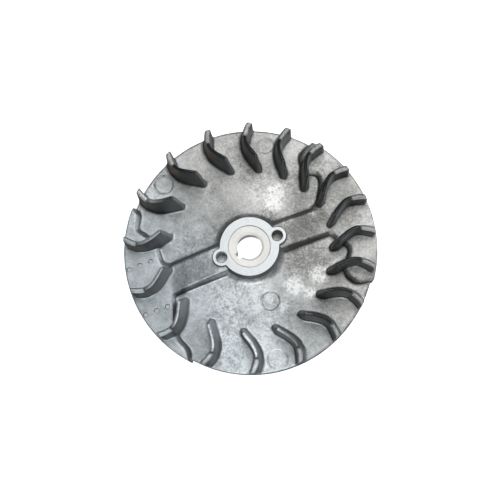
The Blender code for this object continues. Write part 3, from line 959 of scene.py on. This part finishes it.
def add_floor():
    """A pale floor that glows to the camera and isn't mirrored in the wheel."""
    bm = bmesh.new()
    bmesh.ops.create_grid(bm, x_segments=1, y_segments=1, size=FLOOR_HALF_WIDTH)
    floor = object_from(bm, "floor")
    floor.location = (0, 0, -FLOOR_DROP)
    made = bpy.data.materials.new("floor_white")
    made.use_nodes = True
    shader = made.node_tree.nodes["Principled BSDF"]
    shader.inputs["Base Color"].default_value = (0.9, 0.9, 0.9, 1.0)
    shader.inputs["Roughness"].default_value = 0.9
    shader.inputs["Specular IOR Level"].default_value = 0.1
    shader.inputs["Emission Color"].default_value = (1.0, 1.0, 1.0, 1.0)
    shader.inputs["Emission Strength"].default_value = FLOOR_GLOW
    floor.data.materials.append(made)
    floor.visible_diffuse = False
    floor.visible_glossy = False


def add_light(name, place, size, power, colour):
    """A round softbox aimed at the wheel."""
    data = bpy.data.lights.new(name, "AREA")
    data.shape = "DISK"
    data.size = size
    data.energy = power
    data.color = colour
    light = bpy.data.objects.new(name, data)
    bpy.context.scene.collection.objects.link(light)
    light.location = place
    light.rotation_mode = "QUATERNION"
    light.rotation_quaternion = (-Vector(place)).to_track_quat("-Z", "Y")


def add_studio():
    """A pale room that is dark straight below, with softboxes overhead, low and on the right."""
    world = bpy.data.worlds.new("studio")
    world.use_nodes = True
    tree = world.node_tree
    background = tree.nodes["Background"]
    direction = tree.nodes.new("ShaderNodeTexCoord")
    axes = tree.nodes.new("ShaderNodeSeparateXYZ")
    tree.links.new(direction.outputs["Generated"], axes.inputs[0])
    height = tree.nodes.new("ShaderNodeMapRange")
    height.inputs["From Min"].default_value = -1.0
    tree.links.new(axes.outputs["Z"], height.inputs["Value"])
    ramp = tree.nodes.new("ShaderNodeValToRGB")
    tree.links.new(height.outputs["Result"], ramp.inputs["Fac"])
    bands = ramp.color_ramp.elements
    bands[0].position, bands[0].color = ROOM_BANDS[0]
    bands[1].position, bands[1].color = ROOM_BANDS[-1]
    for position, colour in ROOM_BANDS[1:-1]:
        bands.new(position).color = colour
    tree.links.new(ramp.outputs["Color"], background.inputs["Color"])
    background.inputs["Strength"].default_value = ROOM_STRENGTH
    bpy.context.scene.world = world
    for softbox in SOFTBOXES:
        add_light(*softbox)
    bpy.context.scene.view_settings.view_transform = "Standard"


def add_camera():
    """The camera looks at the front from slightly right of the wheel's axis and a little below it."""
    lean = math.sqrt(1 - CAMERA_LEAN_X ** 2 - CAMERA_LEAN_Y ** 2)
    axis = Vector((CAMERA_LEAN_X, CAMERA_LEAN_Y, lean))
    across = (Vector((1, 0, 0)) - CAMERA_LEAN_X * axis).normalized()
    up = axis.cross(across)
    data = bpy.data.cameras.new("camera")
    data.lens = CAMERA_LENS
    data.sensor_width = CAMERA_SENSOR
    data.clip_start = CAMERA_NEAR
    camera = bpy.data.objects.new("camera", data)
    bpy.context.scene.collection.objects.link(camera)
    turn = Matrix((across, up, axis))
    camera.matrix_world = Matrix.Translation(CAMERA_PLACE) @ turn.to_4x4()
    bpy.context.scene.camera = camera


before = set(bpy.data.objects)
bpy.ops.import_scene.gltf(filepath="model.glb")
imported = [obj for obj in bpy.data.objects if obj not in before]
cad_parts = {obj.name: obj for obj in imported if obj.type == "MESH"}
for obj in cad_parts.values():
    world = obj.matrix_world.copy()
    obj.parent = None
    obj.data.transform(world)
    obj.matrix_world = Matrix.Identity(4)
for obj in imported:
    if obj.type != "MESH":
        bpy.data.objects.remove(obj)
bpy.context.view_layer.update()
add_camera()
add_floor()
add_studio()

casting = make_casting(aluminium())
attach(casting, "root")
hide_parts("flywheel_casting")

insert = make_insert(hub_steel())
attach(insert, "root")
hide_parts("hub_insert")

iron = lamination_steel()
pins = pin_steel()
for node, piece in sorted(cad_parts.items()):
    if "_lamination_" in node:
        repaint(piece, iron)
    elif "_pin_" in node:
        repaint(piece, pins)
repaint(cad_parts["ignition_magnet"], magnet_black())
